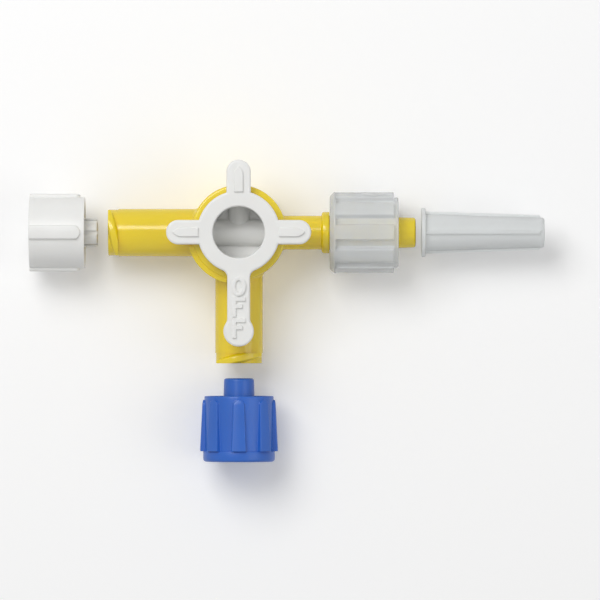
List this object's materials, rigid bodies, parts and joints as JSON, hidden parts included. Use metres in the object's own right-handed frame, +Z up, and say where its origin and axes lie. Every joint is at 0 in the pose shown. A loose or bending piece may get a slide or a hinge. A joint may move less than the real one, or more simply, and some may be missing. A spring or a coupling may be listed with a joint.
{
  "type": "four-way stopcock",
  "caption": "Medical four-way stopcock with a four-arm lever, taper sockets, a spinning lock collar on its male tip, screw caps and a tip sleeve drawn off.",
  "frame": {"origin": "centre of the ring face at the hub's foot, on the valve axis", "axes": "+Z up the valve axis to the lever, +X along the male arm, -X and -Y along the two taper sockets"},
  "size_m": [0.0682, 0.0398, 0.0138],
  "materials": {
    "body_yellow": "translucent yellow polycarbonate, polished",
    "handle_white": "white polyethylene, fine moulded satin",
    "collar_clear": "milky clear plastic",
    "cap_white": "white plastic, fine moulded satin",
    "cap_blue": "blue plastic, fine moulded satin",
    "sleeve_natural": "natural polyethylene, waxy and translucent"
  },
  "bodies": {
    "valve_body": {"body": "body_yellow"},
    "handle": {"handle": "handle_white"},
    "lock_collar": {"lock_collar": "collar_clear"},
    "vented_cap": {"vented_cap": "cap_white"},
    "port_cap": {"port_cap": "cap_blue"},
    "tip_sleeve": {"tip_sleeve": "sleeve_natural"}
  },
  "joints": [
    {"name": "handle_turn", "type": "hinge", "parent": "valve_body", "child": "handle", "pos_m": [0, 0, 0.0056], "axis": [0, 0, 1], "continuous": true},
    {"name": "collar_spin", "type": "hinge", "parent": "valve_body", "child": "lock_collar", "pos_m": [0.0126, 0, 0.0056], "axis": [1, 0, 0], "continuous": true},
    {"name": "vented_cap_off", "type": "slide", "parent": "valve_body", "child": "vented_cap", "axis": [-1, 0, 0], "range_m": [-0.00915, 0.03]},
    {"name": "port_cap_off", "type": "slide", "parent": "valve_body", "child": "port_cap", "axis": [0, -1, 0], "range_m": [-0.00666, 0.03]},
    {"name": "tip_sleeve_off", "type": "slide", "parent": "valve_body", "child": "tip_sleeve", "axis": [1, 0, 0], "range_m": [-0.00541, 0.03]}
  ]
}
